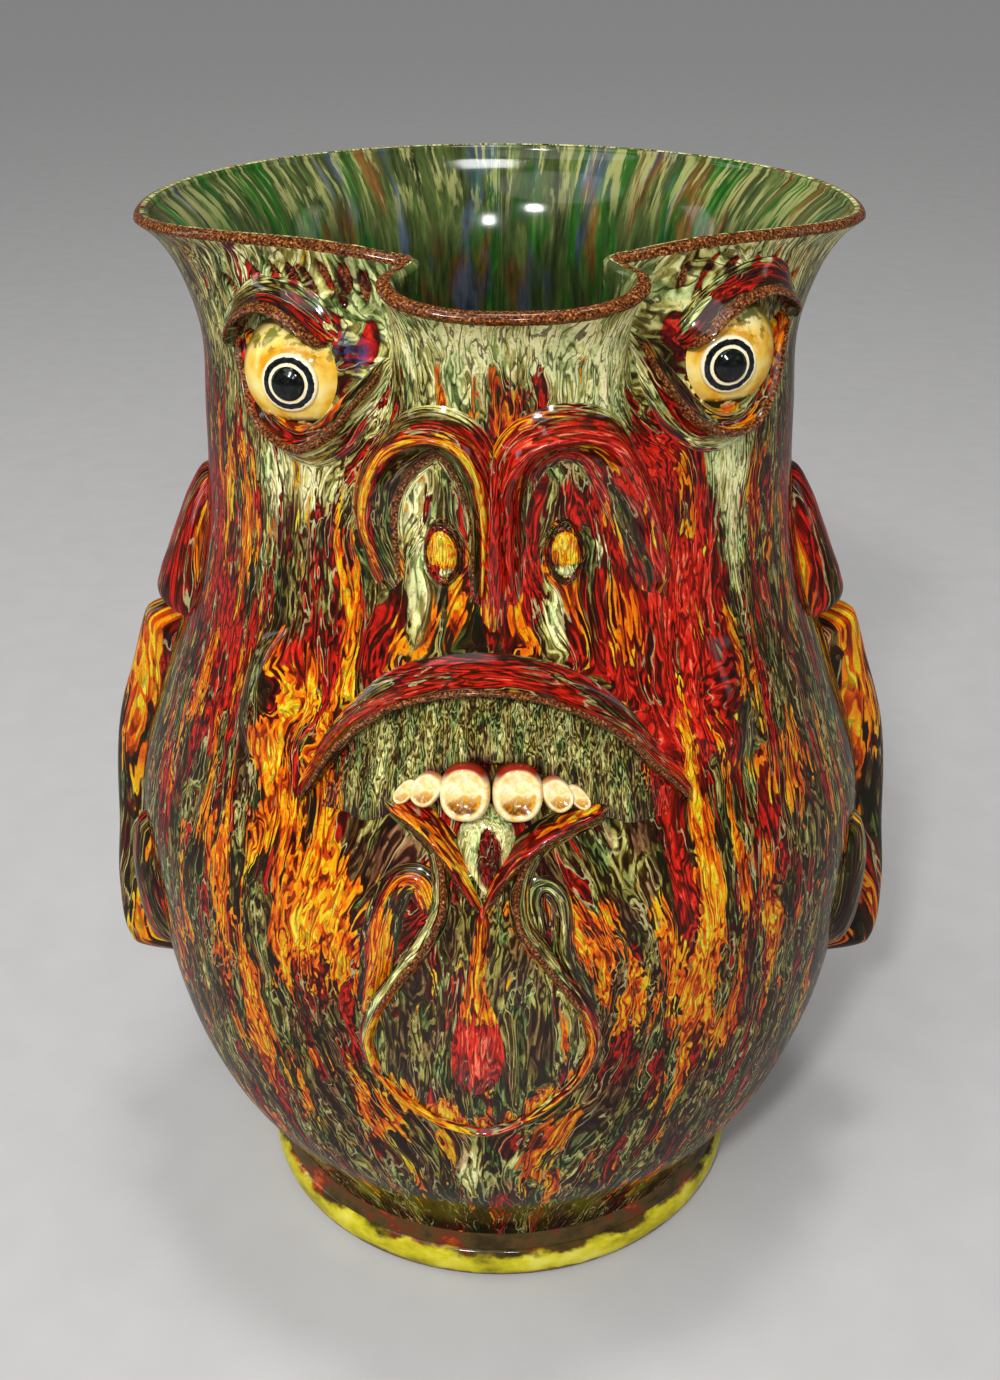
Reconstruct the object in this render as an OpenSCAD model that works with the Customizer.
// Face jug: a thrown stoneware jug with a grotesque face modelled from added pieces of clay.
// Millimetres, +Z up, the face looks along -Y, and the origin is the middle of the foot.
// Azimuths are in degrees from the front, and positive towards the jug's own left, which is +X.

/* [Pot] */
// Height of the rim at the sides and the back
jug_h = 255; // [180:1:330]
// Width of the belly
belly_d = 178; // [140:1:230]
// Width of the neck at its waist
neck_d = 132; // [110:1:150]
// Width across the flared rim
rim_d = 156; // [148:1:180]
// Thickness of the thrown wall
wall = 4.6; // [3:0.1:7]
// Thickness of the floor inside
floor_t = 7; // [4:0.5:12]
// Rise of the rim over the eyes
brow_lift = 2.5; // [0:0.5:6]

/* [Foot] */
// Width of the foot ring
foot_d = 127; // [110:1:140]
// Height of the foot, up to the belly
foot_h = 13; // [9:0.5:18]
// Height of the foot's round band below its cove
foot_band_h = 8.5; // [5:0.5:9]
// Width of the rim that the jug stands on, outside the recess
foot_rim_w = 11.5; // [8:0.5:16]
// Depth of the recess under the foot
recess_depth = 9; // [4:0.5:9]
// Depth of the cove between the foot and the belly
cove_depth = 2.5; // [1:0.5:4]

/* [Spout] */
// How far the lip of the spout stands from the jug's axis
spout_reach = 81; // [76:0.5:90]
// How far the lip of the spout lies below the rim
spout_drop = 5; // [2:0.5:10]
// How far the rounded edge of the rim stands over its wall
roll_lift = 1.5; // [0.5:0.1:3]

/* [Handle] */
// How far the handle stands from the jug's axis
handle_reach = 117; // [105:1:130]
// Width of the strap
handle_w = 24; // [16:1:34]
// Thickness of the strap
handle_t = 10; // [7:0.5:14]

/* [Eyes] */
// Radius of an eyeball
eyeball_r = 13; // [11:0.5:17]
// How far an eyeball stands out from the wall
eyeball_rise = 7; // [4:0.5:9]
// Radius of an iris
iris_r = 6.1; // [4:0.1:8]
// Radius of a pupil
pupil_r = 3.7; // [2:0.1:5]
// Half width of the coil of a lower eyelid
lower_lid_w = 3.2; // [2:0.1:4]
// Half width of the coil of an upper eyelid
upper_lid_w = 2.2; // [1.5:0.1:3]
// Height of an eyelid over the wall
lid_rise = 7; // [4:0.5:9]
// Half width of a brow fold
brow_w = 1.8; // [1:0.1:3]
// Height of a brow fold over the wall
brow_rise = 3; // [1.5:0.1:5]

/* [Nose] */
// Half width of the coil of a nose wing
wing_w = 4; // [3:0.1:7]
// Height of a nose wing over the wall
wing_rise = 8.5; // [4:0.5:12]
// Half width of the ridge between the nostrils
nose_ridge_w = 2.6; // [1.5:0.1:3]
// Height of the ridge between the nostrils
nose_ridge_rise = 8; // [4:0.5:12]
// Half width of a nostril pellet
nostril_w = 3.8; // [2:0.1:5]
// Height of a nostril pellet over the wall
nostril_rise = 3; // [1:0.1:5]

/* [Mouth] */
// Half width of the upper lip
upper_lip_w = 4.6; // [3:0.1:6]
// Height of the upper lip over the wall
upper_lip_rise = 8.5; // [4:0.5:12]
// Half width of the gum band
gum_w = 6.2; // [4:0.1:7]
// Height of the gum band over the wall
gum_rise = 3.5; // [2:0.1:6]
// Height of a front tooth, from its root to its edge
tooth_h = 11.5; // [8:0.5:14]
// Half width of a front tooth
tooth_w = 5; // [3:0.1:6]
// How far a front tooth stands out from the wall
tooth_rise = 6; // [3:0.1:8]
// Half width of the tooth beside a front tooth
next_tooth_w = 2.5; // [1.5:0.1:3.5]
// Half width of the last tooth of each row
last_tooth_w = 1.5; // [1:0.1:2.5]
// Gap between two teeth
tooth_gap = 0.4; // [0.2:0.1:1]
// Half width of the tongue
tongue_w = 5.4; // [3:0.1:7]
// Height of the tongue over the wall
tongue_rise = 3; // [1:0.1:5]
// Half width of the coil of the lower lip
lower_lip_w = 2.6; // [1.5:0.1:4]
// Height of the lower lip over the wall
lower_lip_rise = 6; // [3:0.5:9]

/* [Chin and cheeks] */
// Half width of the chin
chin_w = 23; // [16:0.5:28]
// Height of the chin over the wall
chin_rise = 9; // [5:0.5:14]
// Half width of the drop on the chin
drop_w = 5; // [3:0.1:7]
// Height of the drop over the chin
drop_rise = 2.2; // [1:0.1:4]
// Half width of the coil of a jowl
jowl_w = 2.2; // [1.5:0.1:3]
// Height of a jowl over the wall
jowl_rise = 3; // [2:0.1:5]
// Half width of a cheek pad
cheek_w = 12; // [8:0.5:15]
// Height of a cheek pad over the wall
cheek_rise = 5; // [2:0.5:8]

/* [Ears] */
// Half width of the upper lobe of an ear
ear_top_w = 13; // [8:0.5:18]
// Height of the upper lobe over the wall
ear_top_rise = 8.5; // [5:0.5:12]
// Half width of the long back band of an ear
helix_w = 7.5; // [5:0.5:10]
// Height of the back band over the wall
helix_rise = 15; // [8:0.5:18]
// Half width of an earlobe
earlobe_w = 13; // [8:0.5:15]
// Height of an earlobe over the wall
earlobe_rise = 7; // [4:0.5:12]

/* [Hidden] */

// The pot's main radii and the heights where its pieces meet
belly_r = belly_d / 2;
neck_r = neck_d / 2;
rim_r = rim_d / 2;
foot_r = foot_d / 2;
recess_r = foot_r - foot_rim_w;
neck_base_z = jug_h * 0.70;
pull_base_z = jug_h * 0.78;
rim_z = jug_h - roll_lift;
// Thickness of the slip that joins an added piece of clay to what carries it
slip = 0.1;
// How far a cut runs past what it cuts
overrun = 1;
// Azimuth of the middle of the spout
spout_turn = 2;
// How quickly the neck takes the plan of the rim: higher is later
pull_power = 2.6;

// The outside of the pot: rows of height and radius
wall_rows = [
  [foot_h, foot_r - cove_depth],
  [jug_h * 0.10, belly_r * 0.76],
  [jug_h * 0.17, belly_r * 0.872],
  [jug_h * 0.26, belly_r * 0.955],
  [jug_h * 0.36, belly_r * 0.994],
  [jug_h * 0.47, belly_r],
  [jug_h * 0.58, belly_r * 0.905],
  [jug_h * 0.67, belly_r * 0.816],
  [jug_h * 0.76, neck_r * 1.023],
  [jug_h * 0.84, neck_r * 1.004],
  [jug_h * 0.90, neck_r],
  [jug_h * 0.95, neck_r + (rim_r - neck_r) * 0.28],
  [jug_h * 0.98, neck_r + (rim_r - neck_r) * 0.65],
  [rim_z, rim_r]
];

// The plan of the rim, from the middle of the spout to the back. Rows of the place round the
// neck and [how far its azimuth is turned, radius, height of the wall] there.
rim_rows = [
  [0, [0, spout_reach, rim_z - spout_drop]],
  [7, [0.5, spout_reach * 0.998, rim_z - spout_drop * 0.95]],
  [12, [1, spout_reach * 0.992, rim_z - spout_drop * 0.75]],
  [16, [1.4, spout_reach * 0.965, rim_z - spout_drop * 0.45]],
  [19, [0.6, spout_reach * 0.905, rim_z - spout_drop * 0.15]],
  [21.5, [-2.9, spout_reach * 0.838, rim_z]],
  [23.5, [-5.1, neck_r * 0.97, rim_z + brow_lift * 0.2]],
  [25.5, [-4.5, neck_r * 0.97, rim_z + brow_lift * 0.4]],
  [30, [-3, neck_r * 0.99, rim_z + brow_lift * 0.8]],
  [38, [-1.5, neck_r * 1.01, rim_z + brow_lift]],
  [50, [-0.5, neck_r + (rim_r - neck_r) * 0.4, rim_z + brow_lift * 0.9]],
  [64, [0, neck_r + (rim_r - neck_r) * 0.78, rim_z + brow_lift * 0.5]],
  [80, [0, rim_r, rim_z]],
  [110, [0, rim_r, rim_z]],
  [180, [0, rim_r, rim_z]]
];

// The row before x in a table of [place, value]
function row_before(rows, x) =
  let (before = [for (i = [0 : len(rows) - 2]) if (x >= rows[i][0]) i])
  len(before) > 0 ? before[len(before) - 1] : 0;

// The slope of such a table at row i
function row_slope(rows, i) =
  let (a = rows[max(i - 1, 0)], b = rows[min(i + 1, len(rows) - 1)])
  (b[1] - a[1]) / (b[0] - a[0]);

// The value at x on a smooth curve through such a table
function smooth(rows, x) =
  let (i = row_before(rows, x), a = rows[i], b = rows[i + 1], h = b[0] - a[0], f = (x - a[0]) / h)
  a[1] * (1 + 2 * f) * (1 - f) ^ 2 + row_slope(rows, i) * h * f * (1 - f) ^ 2
  + b[1] * (3 - 2 * f) * f ^ 2 + row_slope(rows, i + 1) * h * (f - 1) * f ^ 2;

// The point at place u, from 0 to 1, on a smooth line through evenly paced rows
function along(rows, u) =
  let (
    n = len(rows), place = min(max(u, 0), 1) * (n - 1), i = min(floor(place), n - 2), f = place - i,
    a = rows[max(i - 1, 0)], b = rows[i], c = rows[i + 1], d = rows[min(i + 2, n - 1)]
  )
  b + 0.5 * f * (c - a + f * (2 * a - 5 * b + 4 * c - d + f * (3 * (b - c) + d - a)));

function polar(azimuth, radius, z) = [radius * sin(azimuth), -radius * cos(azimuth), z];
function unit(v) = v / norm(v);
function total(list) = [for (item = list) 1] * list;

// Radius of the round pot at a height
function wall_r(z) = smooth(wall_rows, z);

// The row of the rim at a place round the neck, turned the way that this side turns
function rim_at(place) =
  let (turn = (place - spout_turn + 540) % 360 - 180, rim = smooth(rim_rows, abs(turn)))
  [sign(turn) * rim[0], rim[1], rim[2]];

// The outside of the pot at a place round it and a height
function skin(place, z) =
  z <= pull_base_z ? polar(place, wall_r(z), z) :
  let (
    rim = rim_at(place), v = (z - pull_base_z) / (rim[2] - pull_base_z), pull = v ^ pull_power,
    round_r = wall_r(pull_base_z + v * (rim_z - pull_base_z))
  )
  polar(place + rim[0] * pull, round_r + (rim[1] - rim_r) * pull, z);

// The direction straight out of the pot's skin
step_turn = 0.5;
step_z = jug_h / 500;
function outward(place, z) =
  unit(cross(skin(place + step_turn, z) - skin(place - step_turn, z),
             skin(place, z + step_z) - skin(place, z - step_z)));

// The same direction without its rise, for the thickness of the wall
function outward_level(place, z) =
  let (d = skin(place + step_turn, z) - skin(place - step_turn, z))
  unit([d[1], -d[0], 0]) * (d[1] * skin(place, z)[0] - d[0] * skin(place, z)[1] < 0 ? -1 : 1);

// A closed mesh through rings of points, each end closed by a fan round its middle
module skinned(rings) {
  n = len(rings);
  m = len(rings[0]);
  points = concat(
    [for (ring = rings) for (p = ring) p],
    [total(rings[0]) / m, total(rings[n - 1]) / m]
  );
  sides = [
    for (i = [0 : n - 2]) for (j = [0 : m - 1])
      let (a = i * m + j, b = i * m + (j + 1) % m)
      each [[a, b + m, b], [a, a + m, b + m]]
  ];
  ends = [
    for (j = [0 : m - 1])
      let (k = (j + 1) % m)
      each [[n * m, j, k], [n * m + 1, (n - 1) * m + k, (n - 1) * m + j]]
  ];
  polyhedron(points, concat(sides, ends));
}

// The point of a strip at place u along it and s across it, from -1 to 1.
// Rows hold [azimuth, share of the jug's height, share of the width, share of the rise, seat].
// The seat is what the strip lies on, as a share of seat_rise over the wall.
strip_step = 0.01;
function strip_point(rows, u, s, width, lift, seat_rise) =
  let (
    row = along(rows, u), back = along(rows, u - strip_step), ahead = along(rows, u + strip_step),
    z = row[1] * jug_h, arc = wall_r(min(z, rim_z)) * PI / 180,
    run = unit([(ahead[0] - back[0]) * arc, (ahead[1] - back[1]) * jug_h]),
    place = row[0] + run[1] * s * width * row[2] / arc, height = z - run[0] * s * width * row[2]
  )
  skin(place, height) + outward(place, height) * (slip + lift * row[3] + seat_rise * row[4]);

// A strip of clay pressed onto the wall along a line
module strip(rows, width, rise, steps = 20, front_steps = 6, back_points = 1, seat_rise = 0) {
  skinned([
    for (i = [0 : steps])
      let (u = i / steps)
      concat(
        [
          for (j = [0 : front_steps])
            let (s = -cos(180 * j / front_steps))
            strip_point(rows, u, s, width, rise * sqrt(max(1 - s ^ 2, 0)), seat_rise)
        ],
        [
          for (j = [1 : back_points])
            let (s = 1 - 2 * j / (back_points + 1))
            strip_point(rows, u, s, width, 0, seat_rise)
        ]
      )
  ]);
}

// The belly, thrown as one hollow piece up to the neck
belly_steps = 36;
module belly() {
  rise = [for (i = [0 : belly_steps]) foot_h + (neck_base_z - foot_h) * i / belly_steps];
  inside = [for (z = rise) if (z > foot_h + floor_t) z];
  color("saddlebrown")
  rotate_extrude($fn = 96)
  polygon(concat(
    [[0, foot_h]],
    [for (z = rise) [wall_r(z), z]],
    [for (i = [len(inside) - 1 : -1 : 0]) [wall_r(inside[i]) - wall, inside[i]]],
    [[wall_r(foot_h + floor_t) - 2 * wall, foot_h + floor_t], [0, foot_h + floor_t]]
  ));
}

// The neck, round at its foot, and pinched into the spout at its rim
front_turn = 72;
front_step = 2;
back_step = 9;
neck_places = concat(
  [for (a = [-front_turn : front_step : front_turn - front_step]) spout_turn + a],
  [for (a = [front_turn : back_step : 360 - front_turn - back_step]) spout_turn + a]
);
neck_steps = 12;
module neck() {
  m = len(neck_places);
  shares = [for (i = [0 : neck_steps]) (i / neck_steps) ^ 0.8];
  // Outside up, over the rolled edge and down inside, as closed rings
  outer = [for (v = shares) [for (p = neck_places) neck_point(p, v, 0, 0)]];
  edge = [[for (p = neck_places) neck_point(p, 1, wall / 2, roll_lift)]];
  inner = [for (i = [neck_steps : -1 : 0]) [for (p = neck_places) neck_point(p, shares[i], wall, 0)]];
  rings = concat(outer, edge, inner);
  n = len(rings);
  color("olivedrab")
  polyhedron(
    [for (ring = rings) for (p = ring) p],
    [
      for (i = [0 : n - 1]) for (j = [0 : m - 1])
        let (k = (j + 1) % m, a = i * m, b = (i + 1) % n * m)
        each [[a + j, b + k, a + k], [a + j, b + j, b + k]]
    ]
  );
}

// A point of the neck at share v of its height, set in from its skin and lifted
function neck_point(place, v, inset, lift) =
  let (z = neck_base_z + v * (rim_at(place)[2] - neck_base_z))
  skin(place, z) - outward_level(place, z) * inset + [0, 0, lift];

// The turned foot ring, with a round band below a cove and a recess under it
band_sides = 8;
module foot_ring() {
  band_r = foot_band_h / 2;
  color("yellowgreen")
  difference() {
    rotate_extrude($fn = 96)
    polygon(concat(
      [[0, 0]],
      [for (i = [0 : band_sides])
        let (a = 180 * i / band_sides - 90)
        [foot_r - band_r * 0.5 + band_r * 0.5 * cos(a), band_r + band_r * sin(a)]],
      [[foot_r - cove_depth, foot_h], [0, foot_h]]
    ));
    translate([0, 0, -overrun])
    cylinder(h = recess_depth + overrun, r = recess_r, $fn = 96);
  }
}

// The pulled strap handle at the back
handle_shares = [
  [neck_r * 0.985, 0.885, 1.2], [handle_reach * 0.74, 0.905, 1], [handle_reach * 0.88, 0.885, 0.92],
  [handle_reach * 0.95, 0.83, 0.88], [handle_reach * 0.957, 0.75, 0.86], [handle_reach * 0.94, 0.66, 0.86],
  [handle_reach * 0.89, 0.57, 0.9], [belly_r * 0.945, 0.485, 1.15]
];
handle_steps = 26;
handle_sides = 12;
module handle() {
  color("darkolivegreen")
  difference() {
    skinned([
      for (i = [0 : handle_steps])
        let (
          u = i / handle_steps, row = along(handle_shares, u),
          run = along(handle_shares, u + strip_step) - along(handle_shares, u - strip_step),
          side = unit([0, run[1] * jug_h, -run[0]])
        )
        [
          for (j = [0 : handle_sides - 1])
            let (a = 360 * j / handle_sides)
            [handle_w / 2 * row[2] * cos(a), row[0], row[1] * jug_h] + side * handle_t / 2 * sin(a)
        ]
    ]);
    rotate_extrude($fn = 96)
    polygon(concat(
      [[0, 0]],
      [for (i = [0 : belly_steps]) let (z = jug_h * i / belly_steps) [z < foot_h ? foot_r : wall_r(z), z]],
      [[0, jug_h]]
    ));
  }
}

// Eyes: [azimuth, share of height] of the eyeball, and the way that the iris looks
left_eye_share = [37, 0.92];
right_eye_share = [-36, 0.906];
look_in_turn = 4;
look_up_turn = 3;

function eye_centre(eye) =
  skin(eye[0], eye[1] * jug_h) + outward(eye[0], eye[1] * jug_h) * (eyeball_rise - eyeball_r);
function eye_look(eye) = eye[0] - sign(eye[0]) * look_in_turn;

module eyeball(eye) {
  color("palegoldenrod")
  difference() {
    translate(eye_centre(eye)) sphere(r = eyeball_r, $fn = 48);
    clay_behind(eye);
  }
}

// The wall behind an eyeball, as a block that follows the skin and reaches in past the ball
socket_steps = 8;
module clay_behind(eye) {
  reach = eyeball_r + overrun;
  turn = reach / wall_r(eye[1] * jug_h) * 180 / PI;
  skinned([
    for (i = [0 : socket_steps])
      let (z = min(eye[1] * jug_h + reach * (2 * i / socket_steps - 1), rim_z))
      concat(
        [
          for (j = [0 : socket_steps])
            let (place = eye[0] + turn * (2 * j / socket_steps - 1))
            skin(place, z) + outward(place, z) * slip
        ],
        [for (j = [1, -1]) skin(eye[0] + j * turn, z) - polar(eye[0], 2 * eyeball_r, 0)]
      )
  ]);
}

// Turns what follows to face out of an eyeball along its look
module eye_facing(eye) {
  translate(eye_centre(eye))
  rotate([90 - look_up_turn, 0, eye_look(eye)])
  children();
}

iris_t = 0.8;
iris_seat_share = 0.985;
module iris(eye) {
  color("black")
  difference() {
    eye_facing(eye)
    translate([0, 0, sqrt(eyeball_r ^ 2 - iris_r ^ 2)])
    cylinder(h = eyeball_r + iris_t - sqrt(eyeball_r ^ 2 - iris_r ^ 2), r = iris_r, $fn = 48);
    translate(eye_centre(eye)) sphere(r = eyeball_r, $fn = 48);
  }
}

pupil_t = 1.6;
module pupil(eye) {
  color("dimgray")
  eye_facing(eye)
  translate([0, 0, eyeball_r + iris_t])
  rotate_extrude($fn = 48)
  polygon(concat([[0, 0]], [for (a = [0 : 15 : 90]) [pupil_r * cos(a), pupil_t * sin(a)]]));
}

// Eyelids and brow folds, laid round their eye: how far out and up from its middle, as shares of
// the eyeball's radius, then the shares of the width and of the rise
function round_eye(eye, shares) =
  let (arc = wall_r(eye[1] * jug_h) * PI / 180)
  [
    for (row = shares)
      [eye[0] + row[0] * eyeball_r / arc, eye[1] + row[1] * eyeball_r / jug_h, row[2], row[3], 0]
  ];

left_lower_lid_shares = [
  [-1.21, 0.35, 0.4, 0.2], [-0.94, -0.04, 0.7, 0.6], [-0.63, -0.47, 0.9, 0.9], [-0.27, -0.88, 1, 1],
  [0.22, -1.12, 1, 1], [0.72, -1.08, 1, 1], [1.07, -0.82, 1, 0.95], [1.3, -0.35, 0.9, 0.85],
  [1.39, 0.1, 0.7, 0.6], [1.48, 0.49, 0.4, 0.2]
];
right_lower_lid_shares = [
  [-1.25, 0.47, 0.4, 0.2], [-0.98, 0.08, 0.7, 0.6], [-0.76, -0.35, 0.9, 0.9], [-0.49, -0.75, 1, 1],
  [-0.09, -0.96, 1, 1], [0.36, -0.9, 1, 1], [0.76, -0.57, 0.9, 0.9], [1.12, -0.12, 0.8, 0.75],
  [1.43, 0.29, 0.6, 0.5], [1.7, 0.73, 0.4, 0.2]
];
left_upper_lid_shares = [
  [-0.94, 0.47, 0.4, 0.3], [-0.76, 0.69, 0.8, 0.8], [-0.49, 0.94, 1, 1], [-0.13, 1.12, 1, 1],
  [0.31, 1.08, 1, 1], [0.72, 0.88, 1, 0.9], [1.07, 0.65, 0.5, 0.5]
];
right_upper_lid_shares = [
  [-0.94, 0.61, 0.5, 0.4], [-0.72, 0.75, 0.8, 0.8], [-0.4, 0.94, 1, 1], [0.04, 1.12, 1, 1],
  [0.45, 1.08, 1, 1], [0.76, 0.86, 1, 0.9], [1.07, 0.63, 0.5, 0.4]
];
left_brow_shares = [
  [-1.34, 0.49, 0.5, 0.3], [-1.03, 0.86, 0.9, 0.9], [-0.63, 1.26, 1, 1], [0, 1.43, 1, 1],
  [0.72, 1.24, 1, 1], [1.52, 0.84, 0.9, 0.9], [2.32, 0.29, 0.5, 0.3]
];
right_brow_shares = [
  [-2.15, 0, 0.5, 0.3], [-1.52, 0.47, 0.9, 0.9], [-0.89, 1, 1, 1], [-0.22, 1.39, 1, 1],
  [0.45, 1.43, 1, 1], [0.89, 1.12, 0.9, 0.9], [1.3, 0.57, 0.5, 0.3]
];

module eyelid(eye, shares, width) {
  color("sienna")
  difference() {
    strip(round_eye(eye, shares), width, lid_rise, steps = 22);
    translate(eye_centre(eye)) sphere(r = eyeball_r + slip, $fn = 48);
  }
}

module brow(eye, shares) {
  color("firebrick") strip(round_eye(eye, shares), brow_w, brow_rise, steps = 20);
}

// The nose: its ridge, its two arched wings and the pellets in the nostrils
nose_ridge_shares = [
  [0, 0.848, 0.5, 0.4, 0], [0, 0.83, 0.9, 0.9, 0], [0, 0.8, 1, 1, 0],
  [-0.2, 0.765, 1, 0.85, 0], [-0.4, 0.735, 1, 0.6, 0], [-0.5, 0.712, 0.7, 0.3, 0]
];
left_wing_shares = [
  [29, 0.735, 0.5, 0.2, 0], [31, 0.765, 0.9, 0.7, 0], [29.5, 0.79, 1, 0.9, 0], [25.5, 0.815, 1, 1, 0],
  [20.5, 0.84, 1, 1, 0], [16, 0.856, 1, 1, 0], [11, 0.86, 1, 1, 0], [6.5, 0.85, 1, 1, 0],
  [4.4, 0.825, 0.5, 1, 0], [4.2, 0.79, 0.45, 0.7, 0], [4.2, 0.76, 0.3, 0.2, 0]
];
right_wing_shares = [
  [-23, 0.735, 0.5, 0.2, 0], [-25, 0.762, 0.9, 0.7, 0], [-25.5, 0.79, 1, 0.9, 0], [-24.5, 0.815, 1, 1, 0],
  [-21.5, 0.838, 1, 1, 0], [-17, 0.854, 1, 1, 0], [-12, 0.859, 1, 1, 0], [-7.5, 0.85, 1, 1, 0],
  [-4.6, 0.825, 0.5, 1, 0], [-4.3, 0.79, 0.45, 0.7, 0], [-4.2, 0.76, 0.3, 0.2, 0]
];

module nose_ridge() {
  color("crimson") strip(nose_ridge_shares, nose_ridge_w, nose_ridge_rise, steps = 14);
}

module nose_wing(rows) {
  color("orangered") strip(rows, wing_w, wing_rise, steps = 26);
}

// An oval pad of clay: middle, share of height, half height as a share, and a lean in degrees
function pad_rows(azimuth, middle, half, lean, seat = 0) = [
  for (a = [-80 : 20 : 80]) [azimuth + lean * sin(a), middle + half * sin(a), cos(a), sqrt(cos(a)), seat]
];

module nostril(azimuth, middle) {
  color("orange") strip(pad_rows(azimuth, middle, 0.021, 1.2), nostril_w, nostril_rise, steps = 8);
}

// The mouth
upper_lip_shares = [
  [-34, 0.56, 0.5, 0.25, 0], [-31, 0.582, 0.8, 0.6, 0], [-26.5, 0.612, 0.95, 0.85, 0], [-21.5, 0.643, 1, 1, 0],
  [-15.5, 0.668, 1, 1, 0], [-8.5, 0.684, 1, 1, 0], [-1, 0.689, 1, 1, 0], [6.5, 0.684, 1, 1, 0],
  [13, 0.668, 1, 1, 0], [18.5, 0.641, 1, 1, 0], [22.5, 0.61, 0.95, 0.85, 0], [26.5, 0.58, 0.8, 0.6, 0],
  [29, 0.56, 0.5, 0.25, 0]
];
// The gum hangs under the lip's line: rows of azimuth, width share and rise share
gum_shares = [
  [-27, 0.2, 0.4], [-24, 0.4, 0.7], [-19, 0.65, 0.9], [-12, 0.95, 1], [-3, 1, 1], [6, 1, 1],
  [13, 0.9, 0.95], [18, 0.65, 0.8], [21.5, 0.35, 0.6], [23.5, 0.2, 0.4]
];
function lip_line(azimuth) = smooth([for (row = upper_lip_shares) [row[0], row[1]]], azimuth);
function gum_rows() = [
  for (row = gum_shares)
    [row[0], lip_line(row[0]) - (upper_lip_w + gum_w) / jug_h, row[1], row[2], 0]
];
left_lip_shares = [
  [16.5, 0.572, 0.5, 0.3, 0], [13, 0.569, 0.9, 0.8, 0], [9.5, 0.562, 1, 1, 0], [6, 0.553, 1, 1, 0],
  [3, 0.543, 1, 1, 0], [0.5, 0.527, 0.9, 0.9, 0], [-1.5, 0.51, 0.5, 0.6, 0]
];
right_lip_shares = [
  [-18, 0.577, 0.5, 0.3, 0], [-15, 0.572, 0.9, 0.8, 0], [-12, 0.561, 1, 1, 0], [-9.5, 0.547, 1, 1, 0],
  [-7.2, 0.531, 1, 1, 0], [-5.5, 0.516, 0.9, 0.9, 0], [-4.2, 0.502, 0.5, 0.6, 0]
];
tongue_shares = [
  [-2, 0.57, 0.85, 0.8, 0], [-1.9, 0.561, 0.95, 0.95, 0], [-1.9, 0.55, 0.85, 1, 0],
  [-2.1, 0.535, 0.5, 0.8, 0], [-2.4, 0.52, 0.2, 0.4, 0]
];

module upper_lip() {
  color("darkred") strip(upper_lip_shares, upper_lip_w, upper_lip_rise, steps = 36);
}

module gum() {
  color("darkolivegreen") strip(gum_rows(), gum_w, gum_rise, steps = 30, back_points = 3);
}

// The teeth stand in a row on both sides of the mouth's middle, each a gap away from the next
mouth_turn = -1.2;
function tooth_line() =
  lip_line(mouth_turn) - (upper_lip_w + 2 * gum_w + tooth_h / 2 + tooth_gap) / jug_h;
function mouth_arc() = wall_r(jug_h * tooth_line()) * PI / 180;
function tooth_place(side, out) = mouth_turn + side * out / mouth_arc();

module front_tooth(side) {
  color("ivory")
  strip(pad_rows(tooth_place(side, tooth_gap / 2 + tooth_w), tooth_line(), tooth_h / 2 / jug_h, 0),
        tooth_w, tooth_rise, steps = 8);
}

module side_teeth(side, drop_share) {
  next_out = tooth_gap * 1.5 + 2 * tooth_w + next_tooth_w;
  last_out = next_out + next_tooth_w + tooth_gap + last_tooth_w;
  middle = tooth_line() - drop_share;
  half = tooth_h / 2 / jug_h;
  color("ivory") {
    strip(pad_rows(tooth_place(side, next_out), middle, half * 0.6, -side),
          next_tooth_w, tooth_rise * 0.75, steps = 8);
    strip(pad_rows(tooth_place(side, last_out), middle - half * 0.15, half * 0.44, -side),
          last_tooth_w, tooth_rise * 0.6, steps = 8);
  }
}

module tongue() {
  color("gainsboro") strip(tongue_shares, tongue_w, tongue_rise, steps = 12);
}

module lower_lip(rows) {
  color("brown") strip(rows, lower_lip_w, lower_lip_rise, steps = 18);
}

// The chin, a pear-shaped bulb, and the drop of glazed clay that runs down it
chin_shares = [
  [-2.9, 0.498, 0.24, 0.4, 0], [-3, 0.485, 0.34, 0.65, 0], [-3.2, 0.462, 0.5, 0.85, 0], [-3.5, 0.425, 0.76, 0.97, 0],
  [-3.5, 0.38, 1, 1, 0], [-3.3, 0.34, 0.96, 1, 0], [-2.8, 0.305, 0.66, 0.9, 0], [-2.1, 0.28, 0.25, 0.45, 0]
];
chin_drop_shares = [
  [-2.8, 0.495, 0.3, 0.6, 0.48], [-2.9, 0.475, 0.32, 0.8, 0.76], [-3.1, 0.45, 0.32, 0.9, 0.91],
  [-3.1, 0.418, 0.36, 0.9, 0.96], [-3.5, 0.392, 0.6, 1, 1], [-3.8, 0.366, 1, 1, 1], [-3.8, 0.342, 0.8, 0.9, 1],
  [-3.7, 0.322, 0.3, 0.5, 0.96]
];

module chin() {
  color("olive") strip(chin_shares, chin_w, chin_rise, steps = 28, front_steps = 12, back_points = 5);
}

module chin_drop() {
  color("red") strip(chin_drop_shares, drop_w, drop_rise, steps = 24, seat_rise = chin_rise);
}

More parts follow.
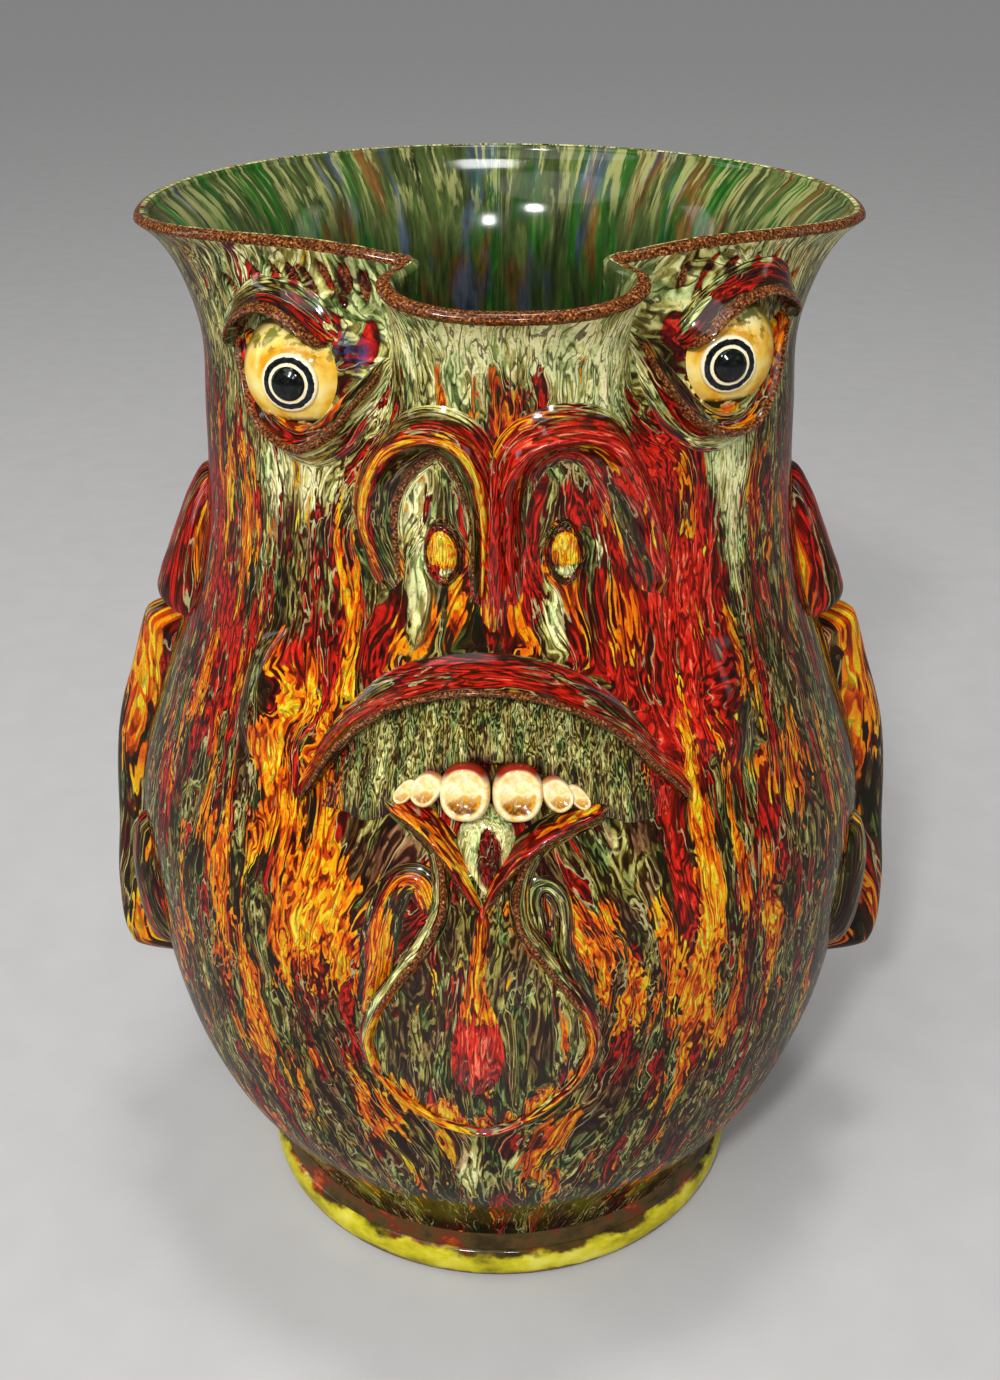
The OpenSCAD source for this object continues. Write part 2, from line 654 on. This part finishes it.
// Jowls curl beside the chin, and cheeks bulge beside the mouth
left_jowl_shares = [
  [3.6, 0.5, 0.5, 0.4, 0], [4.6, 0.516, 0.9, 0.9, 0], [6.6, 0.524, 1, 1, 0], [8.8, 0.515, 1, 1, 0],
  [9.4, 0.494, 1, 1, 0], [9.6, 0.468, 1, 0.9, 0], [11, 0.44, 0.9, 0.8, 0], [13.5, 0.41, 0.5, 0.4, 0]
];
right_jowl_shares = [
  [-10.6, 0.49, 0.5, 0.4, 0], [-10, 0.508, 0.9, 0.9, 0], [-11.5, 0.525, 1, 1, 0], [-14.2, 0.522, 1, 1, 0],
  [-15.8, 0.503, 1, 1, 0], [-16.8, 0.475, 1, 0.9, 0], [-18.2, 0.44, 0.9, 0.8, 0], [-19.5, 0.405, 0.5, 0.4, 0]
];
left_cheek_shares = [
  [33, 0.71, 0.4, 0.25, 0], [35, 0.675, 0.8, 0.75, 0], [37, 0.64, 1, 1, 0], [37.5, 0.605, 0.8, 0.95, 0],
  [36, 0.575, 0.3, 0.4, 0]
];
right_cheek_shares = [
  [-35, 0.71, 0.4, 0.25, 0], [-37, 0.675, 0.8, 0.75, 0], [-39, 0.64, 1, 1, 0], [-40, 0.61, 0.8, 0.95, 0],
  [-38.5, 0.58, 0.3, 0.4, 0]
];

module jowl(rows) {
  color("darkorange") strip(rows, jowl_w, jowl_rise, steps = 20);
}

module cheek(rows) {
  color("firebrick") strip(rows, cheek_w, cheek_rise, steps = 14, front_steps = 8, back_points = 3);
}

// Ears, written for the left side: side is 1 for the left and -1 for the right
ear_top_shares = [
  [86, 0.772, 0.3, 0.15, 0], [86, 0.755, 0.7, 0.75, 0], [86, 0.725, 1, 1, 0], [86, 0.69, 1, 0.95, 0],
  [86, 0.655, 0.95, 0.9, 0], [86, 0.636, 0.85, 0.8, 0]
];
helix_shares = [
  [90, 0.632, 0.8, 0.6, 0], [92, 0.59, 0.95, 0.62, 0], [93, 0.54, 1, 0.62, 0], [93.5, 0.48, 1, 0.64, 0],
  [93.5, 0.42, 1, 0.72, 0], [92, 0.36, 1, 0.85, 0], [90, 0.31, 1, 0.98, 0], [88, 0.265, 0.95, 1, 0],
  [85, 0.235, 0.6, 0.7, 0]
];
earlobe_shares = [
  [71, 0.465, 0.35, 0.4, 0], [72, 0.445, 0.8, 0.85, 0], [73, 0.405, 1, 1, 0], [73.5, 0.36, 1, 1, 0],
  [74, 0.325, 0.75, 0.85, 0], [74.5, 0.308, 0.35, 0.4, 0]
];

// The same rows on the other side of the jug
function on_side(rows, side) =
  [for (i = [0 : len(rows) - 1]) let (row = rows[i]) [row[0] * side, row[1], row[2], row[3], row[4]]];

module ear_top(side) {
  color("crimson") strip(on_side(ear_top_shares, side), ear_top_w, ear_top_rise, steps = 14, back_points = 3);
}

module helix(side) {
  color("chocolate") strip(on_side(helix_shares, side), helix_w, helix_rise, steps = 22);
}

module earlobe(side) {
  color("peru") strip(on_side(earlobe_shares, side), earlobe_w, earlobe_rise, steps = 14, back_points = 3);
}

belly();
neck();
foot_ring();
handle();
eyeball(left_eye_share);  // left_eyeball
eyeball(right_eye_share);  // right_eyeball
iris(left_eye_share);  // left_iris
iris(right_eye_share);  // right_iris
pupil(left_eye_share);  // left_pupil
pupil(right_eye_share);  // right_pupil
eyelid(left_eye_share, left_upper_lid_shares, upper_lid_w);  // left_upper_lid
eyelid(right_eye_share, right_upper_lid_shares, upper_lid_w);  // right_upper_lid
eyelid(left_eye_share, left_lower_lid_shares, lower_lid_w);  // left_lower_lid
eyelid(right_eye_share, right_lower_lid_shares, lower_lid_w);  // right_lower_lid
brow(left_eye_share, left_brow_shares);  // left_brow
brow(right_eye_share, right_brow_shares);  // right_brow
nose_ridge();
nose_wing(left_wing_shares);  // left_nose_wing
nose_wing(right_wing_shares);  // right_nose_wing
nostril(11, 0.778);  // left_nostril
nostril(-9.8, 0.776);  // right_nostril
upper_lip();
gum();
front_tooth(1);  // left_front_tooth
front_tooth(-1);  // right_front_tooth
side_teeth(1, 0.003);  // left_side_teeth
side_teeth(-1, 0);  // right_side_teeth
tongue();
lower_lip(left_lip_shares);  // left_lower_lip
lower_lip(right_lip_shares);  // right_lower_lip
chin();
chin_drop();
jowl(left_jowl_shares);  // left_jowl
jowl(right_jowl_shares);  // right_jowl
cheek(left_cheek_shares);  // left_cheek
cheek(right_cheek_shares);  // right_cheek
ear_top(1);  // left_ear_top
ear_top(-1);  // right_ear_top
helix(1);  // left_helix
helix(-1);  // right_helix
earlobe(1);  // left_earlobe
earlobe(-1);  // right_earlobe
